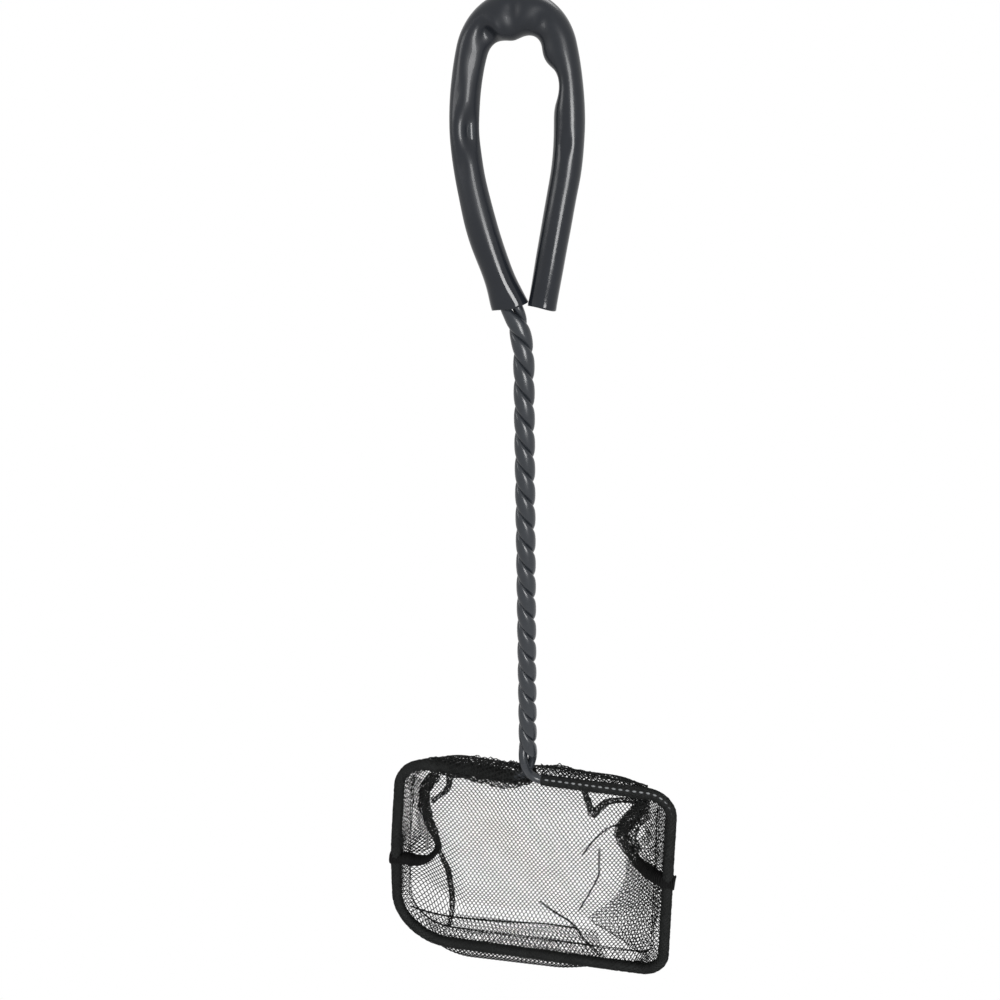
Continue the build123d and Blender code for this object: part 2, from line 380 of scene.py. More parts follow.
class Nodes:
    """A node tree that starts empty, and the one way in which nodes are added to it."""

    def __init__(self, tree):
        self.tree = tree
        tree.nodes.clear()

    def node(self, kind, settings=None, values=None):
        """A new node with its settings made first, then its sockets filled or joined."""
        node = self.tree.nodes.new(kind)
        for name, value in (settings or {}).items():
            setattr(node, name, value)
        self.fill(node, values or {})
        return node

    def fill(self, node, values):
        """Fill a node's sockets with plain values, or join them to other sockets."""
        for name, value in values.items():
            if isinstance(value, Term):
                value = value.socket
            if isinstance(value, bpy.types.NodeSocket):
                self.tree.links.new(value, node.inputs[name])
            else:
                node.inputs[name].default_value = value

    def looked_at(self):
        """One where the camera, a mirror or a glass looks, and nought for other light."""
        rays = self.node("ShaderNodeLightPath").outputs
        seen = Term(self, rays["Is Camera Ray"])
        for kind in ("Is Glossy Ray", "Is Transmission Ray"):
            seen = seen.math("MAXIMUM", seen, Term(self, rays[kind]))
        return seen


class Finish(Nodes):
    """A material and the nodes that make it."""

    def __init__(self, name):
        self.material = bpy.data.materials.new(name)
        self.material.use_nodes = True
        super().__init__(self.material.node_tree)
        self.place = self.node("ShaderNodeTexCoord").outputs["Object"]
        self.shader = self.node("ShaderNodeBsdfPrincipled")
        surface = {"Surface": self.shader.outputs["BSDF"]}
        self.output = self.node("ShaderNodeOutputMaterial", {"is_active_output": True}, surface)

    def noise(self, scale, detail):
        """Noise over the object, with the scale given in waves per metre."""
        values = {"Vector": self.place, "Scale": scale, "Detail": detail}
        return Term(self, self.node("ShaderNodeTexNoise", {}, values).outputs["Fac"])

    def blend(self, factor, first, second):
        """A colour between two others."""
        values = {0: factor, 6: first, 7: second}
        return self.node("ShaderNodeMix", {"data_type": "RGBA"}, values).outputs[2]

    def bump(self, height, strength, distance):
        """A normal raised by a height, over a distance in metres."""
        values = {"Height": height, "Strength": strength, "Distance": distance}
        return self.node("ShaderNodeBump", {}, values).outputs["Normal"]

    def dressed(self, colour, tone, spread, values):
        """The material, in a colour that varies with a tone by a share either way."""
        levels = (1 - spread, 1 + spread)
        shades = [(*(channel * level for channel in colour), 1.0) for level in levels]
        self.fill(self.shader, {"Base Color": self.blend(tone, *shades), **values})
        return self.material


def wire_vinyl(colour):
    """Satin vinyl coat, slightly grained and scuffed."""
    finish = Finish("wire_vinyl_coat")
    scuff = finish.noise(scale=420.0, detail=4.0)
    grain = finish.noise(scale=5200.0, detail=2.0)
    values = {
        "Roughness": 0.2 + scuff * 0.16,
        "Specular IOR Level": 0.36,
        "Normal": finish.bump(grain * 0.4 + scuff * 0.6, strength=0.22, distance=0.00012),
    }
    return finish.dressed(colour, scuff, spread=0.18, values=values)


def sleeve_vinyl(colour):
    """Soft vinyl with fine finger marks, a slow unevenness, and a gloss that is dull in places."""
    finish = Finish("sleeve_vinyl_tube")
    mark = finish.noise(scale=260.0, detail=5.0)
    wave = finish.noise(scale=95.0, detail=1.0)
    dull = finish.noise(scale=34.0, detail=1.0)
    values = {
        "Roughness": 0.1 + mark * 0.1 + (dull - 0.35) * 0.9,
        "Specular IOR Level": 0.22,
        "Normal": finish.bump(wave * 0.7 + mark * 0.3, strength=0.3, distance=0.0005),
        "Coat Weight": 0.12,
        "Coat Roughness": 0.06,
    }
    return finish.dressed(colour, mark, spread=0.12, values=values)


# Yarns: their roughness, and the fibres in a metre
YARNS = {
    "netting_yarn": (0.5, 9000.0),
    # The light-grey yarn below is painted highlight: the wire's glint seen through the holes of the
    # hem
    "hem_glint": (0.3, 4000.0),
    "seam_yarn_black": (0.65, 6000.0),
}


def yarn(name, colour):
    """Knitting yarn with fine fibre relief, made on first use."""
    if name in bpy.data.materials:
        return bpy.data.materials[name]
    roughness, fibre = YARNS[name]
    finish = Finish(name)
    tone = finish.noise(scale=fibre * 0.2, detail=3.0)
    hair = finish.noise(scale=fibre, detail=3.0)
    values = {
        "Roughness": roughness + hair * 0.2,
        "Specular IOR Level": 0.12,
        "Normal": finish.bump(hair, strength=0.6, distance=0.00015),
    }
    return finish.dressed(colour, tone, spread=0.3, values=values)


def shown(name, mesh):
    """A mesh object at the origin of the scene."""
    piece = bpy.data.objects.new(name, mesh)
    bpy.context.scene.collection.objects.link(piece)
    return piece


def ring_mesh(name, rings, material, capped=False):
    """A skin over rings of points, with both ends closed or left open."""
    count, sides = rings.shape[:2]
    row = np.arange(sides)
    following = np.roll(row, -1)
    faces = []
    for low in range(0, (count - 1) * sides, sides):
        high = low + sides
        corners = (low + row, low + following, high + following, high + row)
        faces += np.column_stack(corners).tolist()
    if capped:
        faces.append(row[::-1].tolist())
        faces.append((row + (count - 1) * sides).tolist())
    mesh = bpy.data.meshes.new(name)
    mesh.from_pydata((rings.reshape(-1, 3) * METRE).tolist(), [], faces)
    mesh.polygons.foreach_set("use_smooth", np.ones(len(mesh.polygons), dtype=bool))
    mesh.materials.append(material)
    mesh.update()
    return mesh


def chain_mesh(name, chains):
    """Loose edges along each chain of points."""
    edges = []
    start = 0
    for chain in chains:
        row = np.arange(start, start + len(chain) - 1)
        edges += np.column_stack((row, row + 1)).tolist()
        start += len(chain)
    mesh = bpy.data.meshes.new(name)
    mesh.from_pydata((np.vstack(chains) * METRE).tolist(), edges, [])
    return mesh


def new_tree(name, inputs):
    """A new Geometry Nodes tree, and the geometry and further inputs that it is given."""
    tree = bpy.data.node_groups.new(name, "GeometryNodeTree")
    for way in ("INPUT", "OUTPUT"):
        tree.interface.new_socket("Geometry", in_out=way, socket_type="NodeSocketGeometry")
    for label, kind in inputs.items():
        tree.interface.new_socket(label, in_out="INPUT", socket_type="NodeSocket" + kind)
    nodes = Nodes(tree)
    return nodes, nodes.node("NodeGroupInput").outputs


def ended_tree(nodes, made, material):
    """The tree, ended so that it gives a smooth, real mesh in its material."""
    for kind in ("GeometryNodeSetShadeSmooth", "GeometryNodeRealizeInstances"):
        made = nodes.node(kind, {}, {"Geometry": made}).outputs["Geometry"]
    painted = nodes.node("GeometryNodeSetMaterial", {}, {"Geometry": made, "Material": material})
    nodes.node("NodeGroupOutput", {}, {"Geometry": painted.outputs["Geometry"]})
    return nodes.tree


def tube_tree():
    """Geometry Nodes that lay a round tube along every chain of edges."""
    name = "yarn_tube"
    if name in bpy.data.node_groups:
        return bpy.data.node_groups[name]
    nodes, given = new_tree(name, {"Radius": "Float", "Sides": "Int", "Material": "Material"})
    curve = nodes.node("GeometryNodeMeshToCurve", {}, {"Mesh": given["Geometry"]})
    section = {"Radius": given["Radius"], "Resolution": given["Sides"]}
    circle = nodes.node("GeometryNodeCurvePrimitiveCircle", {}, section)
    swept = {"Curve": curve.outputs["Curve"], "Profile Curve": circle.outputs["Curve"]}
    tube = nodes.node("GeometryNodeCurveToMesh", {}, swept)
    return ended_tree(nodes, tube.outputs["Mesh"], given["Material"])


def bead_tree():
    """Geometry Nodes that set small long beads at an even spacing along chains of edges."""
    name = "bead_row"
    if name in bpy.data.node_groups:
        return bpy.data.node_groups[name]
    inputs = {"Spacing": "Float", "Thickness": "Vector", "Material": "Material"}
    nodes, given = new_tree(name, inputs)
    curve = nodes.node("GeometryNodeMeshToCurve", {}, {"Mesh": given["Geometry"]})
    row = {"Curve": curve.outputs["Curve"], "Length": given["Spacing"]}
    places = nodes.node("GeometryNodeCurveToPoints", {"mode": "LENGTH"}, row)
    ball = {"Segments": 8, "Rings": 6, "Radius": 1.0}
    bead = nodes.node("GeometryNodeMeshUVSphere", {}, ball)
    stood = {
        "Points": places.outputs["Points"],
        "Instance": bead.outputs["Mesh"],
        "Rotation": places.outputs["Rotation"],
        "Scale": given["Thickness"],
    }
    stand = nodes.node("GeometryNodeInstanceOnPoints", {}, stood)
    return ended_tree(nodes, stand.outputs["Instances"], given["Material"])


def grown(name, chains, tree, values):
    """The plain mesh that a Geometry Nodes tree makes of chains of points."""
    carrier = shown(name + "_chains", chain_mesh(name + "_chains", chains))
    modifier = carrier.modifiers.new("grow", "NODES")
    modifier.node_group = tree
    for socket in tree.interface.items_tree:
        if socket.in_out == "INPUT" and socket.name in values:
            modifier[socket.identifier] = values[socket.name]
    graph = bpy.context.evaluated_depsgraph_get()
    mesh = bpy.data.meshes.new_from_object(carrier.evaluated_get(graph), depsgraph=graph)
    mesh.name = name
    chains_mesh = carrier.data
    bpy.data.objects.remove(carrier)
    bpy.data.meshes.remove(chains_mesh)
    if not mesh.polygons:
        raise RuntimeError(f"{name} has no faces")
    return mesh


def thread(name, chains, radius, material, sides):
    """A mesh of round threads along chains of points."""
    values = {"Radius": radius * METRE, "Sides": sides, "Material": material}
    return grown(name, chains, tube_tree(), values)


def beads(name, chains, spacing, thickness, material):
    """A mesh of long beads along chains of points."""
    size = tuple(side * METRE for side in thickness)
    values = {"Spacing": spacing * METRE, "Thickness": size, "Material": material}
    return grown(name, chains, bead_tree(), values)


def joined(name, meshes):
    """One mesh object that holds several meshes."""
    pieces = [shown(name + "_part", mesh) for mesh in meshes]
    whole = pieces[0]
    with bpy.context.temp_override(
        active_object=whole,
        object=whole,
        selected_objects=pieces,
        selected_editable_objects=pieces,
    ):
        bpy.ops.object.join()
    whole.name = name
    whole.data.name = name
    return whole


def settled(piece, node):
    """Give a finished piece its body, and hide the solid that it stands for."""
    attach(piece, "root")
    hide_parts(node)


# Netting cells: how high a row is beside its cell's width, and the share of it a zigzag climbs
ROW_SHARE = 0.68
ZIGZAG_SHARE = 0.72


def lattice(width, height, cell, wrapped=False):
    """Knitted netting laid flat: zigzag chains across and short uprights between them."""
    columns = 2 * max(1, round(width / cell))
    rows = max(1, round(height / (cell * ROW_SHARE)))
    pitch = width / columns
    rise = height / rows
    across = np.arange(columns + 1)
    chains = []
    for row in range(rows + 1):
        lift = ((across + row) % 2) * rise * ZIGZAG_SHARE
        chains.append(np.column_stack((across * pitch, np.minimum(row * rise + lift, height))))
    for row in range(rows):
        low = row * rise + rise * ZIGZAG_SHARE
        for column in range((row + 1) % 2, columns + (0 if wrapped else 1), 2):
            chains.append(np.array(((column * pitch, low), (column * pitch, (row + 1) * rise))))
    return chains


def laid(chains, place):
    """Chains on the flat carried to a surface by a function of both flat coordinates."""
    lengths = [len(chain) for chain in chains]
    flat = np.vstack(chains)
    carried = place(flat[:, 0], flat[:, 1])
    return np.split(carried, np.cumsum(lengths)[:-1])


def flat_size(grid):
    """The mean width and height of a grid of points, measured along it."""
    return [
        np.linalg.norm(np.diff(grid, axis=axis), axis=-1).sum(axis=axis).mean() for axis in (0, 1)
    ]


def net_on(grid, width, height, cell):
    """Netting of this flat size, carried to a grid of points."""
    columns, rows = grid.shape[:2]

    def place(across, along):
        first = np.clip(across / width, 0, 1) * (columns - 1)
        second = np.clip(along / height, 0, 1) * (rows - 1)
        left = np.minimum(first.astype(int), columns - 2)
        low = np.minimum(second.astype(int), rows - 2)
        u = (first - left)[:, None]
        v = (second - low)[:, None]
        near = grid[left, low] * (1 - u) + grid[left + 1, low] * u
        far = grid[left, low + 1] * (1 - u) + grid[left + 1, low + 1] * u
        return near * (1 - v) + far * v

    return laid(lattice(width, height, cell), place)


# The bag's middle section from top bar to bottom bar: depth, and fall as a share of the height
SECTION = np.array(
    (
        (1.6, 0.0), (4.5, -0.012), (8.0, 0.0), (11.0, 0.04), (13.5, 0.12), (15.5, 0.26),
        (17.0, 0.5), (18.4, 0.78), (19.0, 0.95), (18.6, 0.985), (16.5, 1.03), (12.5, 1.09),
        (8.5, 1.125), (5.0, 1.14), (2.8, 1.128), (1.7, 1.09), (1.4, 1.04), (1.6, 1.0),
    )
)
# Its side: distance in from the bar, and the share of the full depth that it has there
SIDE_RUN = (
    (0.0, 0.0), (0.8, 0.14), (3.0, 0.36), (7.0, 0.62), (12.0, 0.82), (18.0, 0.95), (27.0, 1.0),
)
LINE_STEP = 0.5
BAG_STEPS = (150, 130)
# Shares of the width over which a side takes on the section's fall, and its sag on either side
FALL_BLEND = (0.0, 0.24)
LEFT_HANG = (0.0, 0.28)
RIGHT_HANG = (0.04, 0.4)
# The share of that sag at mid width, and what it gains towards the left
HANG_SHARE = 0.85
HANG_TILT = 0.15
# Fullness to the sides: size, rows where it comes and goes, and place, which is its spread too
SIDE_FULLNESS = 2.6
FULL_START = (0.35, 0.55)
FULL_END = (0.8, 0.95)
FULL_INSET = 0.03
# Slow unevenness of the slack netting, and the depths over which it sets in
SLACK_DEPTHS = (3.0, 9.0)
SLACK_WAVES = ((1.1, 17.0, 3), (0.5, 7.0, 5))
# Places on the bag: how much a deeper one is preferred, and how far inside they lie
DEEPER_SHARE = 0.2
INSIDE_GAP = 0.3


def bag_lines():
    """The bag's middle section and the run of its side, each evenly stepped along the netting."""
    drop = HOOP_CORNERS[0][2] - (HOOP_CORNERS[1][2] + HOOP_CORNERS[2][2]) / 2
    section = smooth_run([(depth, 0.0, fall * drop) for depth, fall in SECTION], LINE_STEP)
    deepest = SECTION[:, 0].max() - SECTION[0, 0]
    half = (HOOP_CORNERS[3][0] - HOOP_CORNERS[0][0]) / 2
    side = [(inset, 0.0, deepest * depth) for inset, depth in SIDE_RUN]
    side = smooth_run(side + [(half, 0.0, deepest)], LINE_STEP)
    return section[:, 0], section[:, 2] / drop, side[:, 0] / (2 * half), side[:, 2] / deepest


def rounded_in(points):
    """Points beyond the round corners of the hoop, drawn back onto them."""
    corners = [np.array(corner) for corner in HOOP_CORNERS]
    for index, radius in enumerate(HOOP_RADII):
        corner = corners[index]
        one = unit(corners[index - 1] - corner)
        other = unit(corners[(index + 1) % 4] - corner)
        half = math.acos(one @ other) / 2
        centre = corner + unit(one + other) * radius / math.sin(half)
        offset = points - centre
        offset[..., 1] = 0
        reach = np.linalg.norm(offset, axis=-1)
        beyond = (offset @ one < 0) & (offset @ other < 0) & (reach > radius)
        drawn = centre + offset * (radius / np.maximum(reach, NO_LENGTH))[..., None]
        drawn[..., 1] = points[..., 1]
        points = np.where(beyond[..., None], drawn, points)
    return points


@lru_cache(maxsize=1)
def bag_grid():
    """The hung bag as a grid of points, with the width and height of its netting laid flat."""
    columns, rows = BAG_STEPS
    depths, falls, insets, swells = bag_lines()
    share = np.linspace(0, 1, rows)[None, :]
    across = np.linspace(-1, 1, columns)[:, None]
    depth = evenly(share, depths)
    fall = evenly(share, falls)
    inset = evenly(1 - np.abs(across), insets)
    swell = evenly(1 - np.abs(across), swells)
    top_left, bottom_left, bottom_right, top_right = (np.array(corner) for corner in HOOP_CORNERS)
    hang = np.where(across < 0, smooth_step(inset, *LEFT_HANG), smooth_step(inset, *RIGHT_HANG))
    hang = hang * (HANG_SHARE - HANG_TILT * across)
    sag = np.maximum(fall - 1, 0) * hang * (bottom_right[2] - top_right[2])
    fall = np.minimum(share + (fall - share) * smooth_step(inset, *FALL_BLEND), 1)
    left = top_left + (bottom_left - top_left) * fall[..., None]
    right = top_right + (bottom_right - top_right) * fall[..., None]
    place = np.where(across < 0, inset, 1 - inset)
    points = left + (right - left) * place[..., None]
    points[..., 1] = SECTION[0, 0] + (depth - SECTION[0, 0]) * swell
    points = rounded_in(points)
    points[..., 2] += sag
    full = smooth_step(share, *FULL_START) * (1 - smooth_step(share, *FULL_END))
    bulge = np.exp(-(((inset - FULL_INSET) / FULL_INSET) ** 2)) * np.sign(across)
    points[..., 0] += SIDE_FULLNESS * full * bulge
    width, height = flat_size(points)
    slack = wobble(points * np.array((1.0, 0.0, 1.0)), *SLACK_WAVES)
    points[..., 1] -= smooth_step(points[..., 1], *SLACK_DEPTHS) * slack
    return points, width, height


def on_bag(column, row):
    """The point of the bag nearest to a place in the picture, a little inside it."""
    grid = bag_grid()[0].reshape(-1, 3)
    offset = grid - CAMERA_PLACE
    ahead = offset @ CAMERA_FORWARD
    columns = PICTURE_WIDTH * (0.5 + FOCAL_SHARE * (offset @ CAMERA_RIGHT) / ahead)
    rows = PICTURE_WIDTH * (0.5 - FOCAL_SHARE * (offset @ CAMERA_UP) / ahead)
    away = (columns - column) ** 2 + (rows - row) ** 2
    return grid[np.argmin(away - DEEPER_SHARE * grid[:, 1])] - BACK * INSIDE_GAP


# Rolls of netting: each layer's loss of radius and gain in turn, the turn in a millimetre, and the
# size and length of the crumples
LAYER_SHRINK = 0.28
LAYER_TURN = 0.9
ROLL_TWIST = 0.06
CRUMPLE = (1.0, 2.6)
FINE_CRUMPLE = (0.6, 1.1)
FINE_SEED = 9


def rolled_net(points, radii, cell, layers, roughness, seed):
    """Netting gathered in layers round a run of points: its chains, and its area laid flat."""
    side, back = run_frames(points)
    length = run_length(points)
    chains = []
    area = 0.0
    for layer in range(layers):
        share = 1 - LAYER_SHRINK * layer
        girth = math.tau * max(radii) * share

        def place(across, along):
            angle = across / girth * math.tau + layer * LAYER_TURN + along * ROLL_TWIST
            radius = np.interp(along, np.linspace(0, length[-1], len(radii)), radii) * share
            centre, *sides = between(along, length, points, side, back)
            outward = around(*sides, angle)
            skin = centre + outward * radius[:, None]
            folds = wobble(skin, (*CRUMPLE, seed + layer), (*FINE_CRUMPLE, seed + FINE_SEED))
            return centre + outward * (radius * (1 + roughness * folds))[:, None]

        chains += laid(lattice(girth, length[-1], cell, wrapped=True), place)
        area += girth * length[-1]
    return chains, area


# Slack layers inside the bag: corners as picture columns and rows, steps of the grid, bow in the
# picture, lift off the bag, and size and length of the waves
FLAPS = (
    ((626, 850), (664, 886), (648, 955), (588, 915)),
    ((634, 815), (657, 808), (657, 868), (630, 838)),
    ((413, 908), (596, 927), (606, 957), (424, 936)),
    ((403, 771), (423, 776), (434, 845), (404, 852)),
)
FLAP_STEPS = 9
FLAP_BOW = (14.0, 4.0)
FLAP_LIFT = 1.2
FLAP_WAVE = (1.6, 8.0)
FLAP_SEED = 80


def flap_net(corners, cell, seed):
    """A slack layer of netting between four places in the picture: its chains and its area."""
    steps = np.linspace(0, 1, FLAP_STEPS)
    u, v = (axis.ravel() for axis in np.meshgrid(steps, steps, indexing="ij"))
    first, second, third, fourth = (np.array(corner, dtype=float) for corner in corners)
    near = first + (second - first) * u[:, None]
    far = fourth + (third - fourth) * u[:, None]
    bow = np.sin(math.pi * v) * (1 - u)
    seen = near + (far - near) * v[:, None] + bow[:, None] * np.array(FLAP_BOW)
    grid = np.array([on_bag(*place) for place in seen]).reshape(FLAP_STEPS, FLAP_STEPS, 3)
    loose = (1 - np.abs(np.linspace(-1, 1, FLAP_STEPS)))[:, None]
    grid[..., 1] -= FLAP_LIFT + wobble(grid, (*FLAP_WAVE, seed)) * loose
    width, height = flat_size(grid)
    return net_on(grid, width, height, cell), width * height


def size_of(name, description, default):
    """A length that a user would change, in metres."""
    return FloatProperty(
        name=name, description=description, default=default, unit="LENGTH", precision=5
    )


def colour_of(name, description, default):
    """A colour that a user would change."""
    return FloatVectorProperty(
        name=name, description=description, default=default, subtype="COLOR", min=0, max=1
    )


class NetSizes(bpy.types.PropertyGroup):
    """Sizes of the wire and netting that a user would change."""

    wire_diameter: size_of("Wire", "Diameter of the coated wire", 0.0032)
    wire_sides: IntProperty(
        name="Wire sides", description="Flats round the wire", default=28, subtype="UNSIGNED"
    )
    cell: size_of("Net cell", "Width of one cell of the bag", 0.0017)
    yarn_diameter: size_of("Net yarn", "Diameter of the netting yarn", 0.00048)
    fold_yarn: size_of("Fold yarn", "Diameter of the yarn in the folds", 0.0004)
    rim_radius: size_of("Rim", "Radius of the hem drawn round the wire", 0.00185)
    stitch: size_of("Stitch", "Spacing of the hem stitches", 0.0019)


class NetColours(bpy.types.PropertyGroup):
    """Colours of the pieces."""

    wire: colour_of("Wire", "Vinyl coat of the wire", (0.0178, 0.0205, 0.0245))
    sleeve: colour_of("Sleeve", "Vinyl grip sleeve", (0.0088, 0.0104, 0.0136))
    netting: colour_of("Netting", "Knitted netting", (0.0108, 0.0116, 0.0113))
    seam: colour_of("Seams", "Overlocked side seams", (0.002, 0.002, 0.002))
    # Light grey that paints the highlight of the wire seen through the hem's holes on the top bar
    glint: colour_of("Glints", "Painted highlight of the wire through the hem on the top bar", (0.17, 0.175, 0.18))
    floor: colour_of("Floor", "Studio floor", (0.86, 0.86, 0.86))


def carried_frame(ways):
    """A side vector at each station of a run, carried along it without turning round it."""
    sides = [unit(np.cross(ways[0], BACK))]
    for way in ways[1:]:
        sides.append(unit(sides[-1] - way * (sides[-1] @ way)))
    return np.array(sides)


def pressed_rings(points, ways, outwards, press, radius, sides):
    """Rings of the wire, pressed flat in the twist on the side of the other strand."""
    side = carried_frame(ways)
    across = np.cross(ways, side)
    known = np.array(sorted(outwards))
    aims = np.array([outwards[index] for index in known])
    turn = np.arctan2((aims * across[known]).sum(axis=1), (aims * side[known]).sum(axis=1))
    outward = around(side, across, np.interp(np.arange(len(points)), known, np.unwrap(turn)))
    sweep = np.cross(ways, outward)
    phase = full_turn(sides)
    bow = np.cos(phase)
    flat = np.where(bow < 0, -np.abs(bow) ** PRESSED_POWER, bow)
    bow = bow + (flat - bow) * press[:, None]
    width = np.sin(phase) * (1 + PRESSED_WIDTH * press[:, None])
    skin = outward[:, None] * bow[..., None] + sweep[:, None] * width[..., None]
    return points[:, None] + radius * skin


class FISHNET_OT_wire(bpy.types.Operator):
    """Lay the coated wire through grip, twist and hoop"""

    bl_idname = "fishnet.wire"
    bl_label = "Coated Wire"

    def execute(self, context):
        sizes = context.scene.fishnet_sizes
        left, left_out = strand_points(0.0, -1)
        right, right_out = strand_points(math.pi, 1)
        hoop = hoop_stations(BAR_START, HOOP_STEP)
        down = [(point, -way) for point, way in reversed(left)]
        run = down[:-1] + bent([down[-1], hoop[0]], FOOT_STEP) + hoop[1:-1]
        run += bent([hoop[-1], right[0]], FOOT_STEP) + right[1:]
        points, ways = split(run)
        last = len(left)
        first = len(run) - len(right)
        outwards = {last - 1 - index: outward for index, outward in enumerate(left_out)}
        outwards |= {first + index: outward for index, outward in enumerate(right_out)}
        press = np.zeros(len(run))
        share = 1 - smooth_step(np.linspace(0, 1, len(left_out)), *PRESS_END)
        fade = np.linspace(1, 0, PRESS_FADE)
        press[last - len(share) : last] = share[::-1]
        press[last : last + len(fade)] = fade
        press[first - len(fade) : first] = fade[::-1]
        press[first : first + len(share)] = share
        radius = sizes.wire_diameter / METRE / 2
        rings = pressed_rings(points, unit(ways), outwards, press, radius, sizes.wire_sides)
        mesh = ring_mesh("wire", rings, wire_vinyl(context.scene.fishnet_colours.wire), True)
        settled(shown("wire", mesh), "coated_wire")
        return {"FINISHED"}


# Dents of the sleeve: distance from its mouth, or back from its free end, angle round it from its
# inner side, depth and half-sizes; a bulge has a depth below nought
DENTS = (
    (51.5, -0.95, 2.3, 5.0, 0.8), (60.0, -1.9, 0.35, 4.0, 0.4), (43.0, -1.8, 0.4, 4.4, 0.4),
    (51.0, -2.4, -0.3, 6.0, 0.4), (77.0, -0.8, 1.2, 3.0, 0.65), (78.6, -0.9, 1.1, 1.5, 0.45),
    (81.8, -0.9, -0.5, 1.5, 0.5), (73.0, -2.2, -0.3, 5.0, 0.5), (69.0, -1.2, 0.4, 4.0, 0.5),
    (87.0, 0.0, -3.3, 9.0, 1.0), (88.5, -1.3, 1.0, 2.4, 0.7), (97.0, -1.2, 0.8, 2.4, 0.7),
    (-69.0, -0.2, -1.0, 5.0, 0.7), (-62.0, 0.0, 3.7, 4.2, 0.85), (-46.0, -1.6, 0.35, 2.5, 0.3),
    (24.0, math.pi, -0.9, 11.0, 0.9), (0.01, 0.0, -1.0, 8.0, 0.8),
    (0.01, math.pi, -1.5, 8.0, 0.8), (0.01, -1.57, 0.4, 6.0, 0.6),
)
SLEEVE_SIDES = 40
SLEEVE_WAVE = (0.07, 9.0, 2)
# Slant of the mouth and its lean to the inner side, trim of the free end, and their fading length
MOUTH_SLANT = 2.6
SLANT_LEAN = 0.75
FREE_END_TRIM = 1.2
TRIM_FADE = 6.0
# Flare and wave of both lips: fading lengths, and lobes as size, count and phase
LIP_FLARE = 0.06
FLARE_FADE = 1.3
FLARE_LOBES = (0.6, 3, 0.7)
LIP_FADE = 2.0
LIP_LOBES = (0.3, 2, 1.1)


def lobes(angle, size, count, phase):
    """Waves of this size, so many once round."""
    return size * np.sin(count * angle + phase)


class FISHNET_OT_sleeve(bpy.types.Operator):
    """Draw the vinyl sleeve over the grip loop, dented where it has been bent"""

    bl_idname = "fishnet.sleeve"
    bl_label = "Grip Sleeve"

    def execute(self, context):
        points, ways = split(bent(grip_stations(), SLEEVE_STEP))
        along = run_length(points)
        ahead = along[-1] - along
        angle = full_turn(SLEEVE_SIDES)
        side = np.array([right_of(way) for way in ways])
        outward = around(side[:, None], BACK, angle)
        depth = np.zeros((len(points), len(angle)))
        for place, aim, deep, half_length, half_angle in DENTS:
            turn = (angle - aim + math.pi) % math.tau - math.pi
            place = place if place > 0 else along[-1] + place
            aside = ((along[:, None] - place) / half_length) ** 2
            depth += deep * np.exp(-aside - (turn / half_angle) ** 2)
        depth += wobble(points[:, None] + outward * SLEEVE_RADIUS, SLEEVE_WAVE)
        lip = np.minimum(along, ahead)[:, None]
        flare = LIP_FLARE * np.exp(-((lip / FLARE_FADE) ** 2)) * (1 + lobes(angle, *FLARE_LOBES))
        slant = MOUTH_SLANT * (1 - SLANT_LEAN * np.cos(angle)) / 2
        shift = lobes(angle, *LIP_LOBES) * np.exp(-lip / LIP_FADE)
        shift = shift + slant * np.exp(-along / TRIM_FADE)[:, None]
        shift = shift - FREE_END_TRIM * np.exp(-ahead / TRIM_FADE)[:, None]
        slide = ways[:, None] * shift[..., None]
        outer, inner = (
            points[:, None] + outward * (radius + flare - depth)[..., None] + slide
            for radius in (SLEEVE_RADIUS, SLEEVE_RADIUS - SLEEVE_WALL)
        )
        rings = np.concatenate((inner[:1], outer, inner[::-1]))
        mesh = ring_mesh("sleeve", rings, sleeve_vinyl(context.scene.fishnet_colours.sleeve))
        settled(shown("sleeve", mesh), "grip_sleeve")
        return {"FINISHED"}


# Hem round the rim: flats, unevenness and inset of its body; cells, lift and yarn of its two knits
RIM_SIDES = 24
RIM_WAVES = ((0.12, 2.2, 11), (0.08, 0.9, 12))
RIM_INSET = 0.1
KNIT_CELLS = (1.8, 1.5)
KNIT_LIFT = 0.06
KNIT_ROUGHNESS = 0.06
KNIT_SEED = 20
KNIT_RADIUS = 0.15
KNIT_SIDES = 4
# Painted highlight on the top bar, light-grey beads for the wire's glint through the hem's holes:
# start, end below the bar, way out from the wire, lift, spacing and half-sizes
GLINT_START = 6.5
GLINT_DROP = 8.0
GLINT_WAY = np.array((0.0, -0.72, 0.66))
GLINT_LIFT = 0.12
GLINT_SPACING = 2.4
GLINT_SIZE = (0.34, 0.34, 0.75)


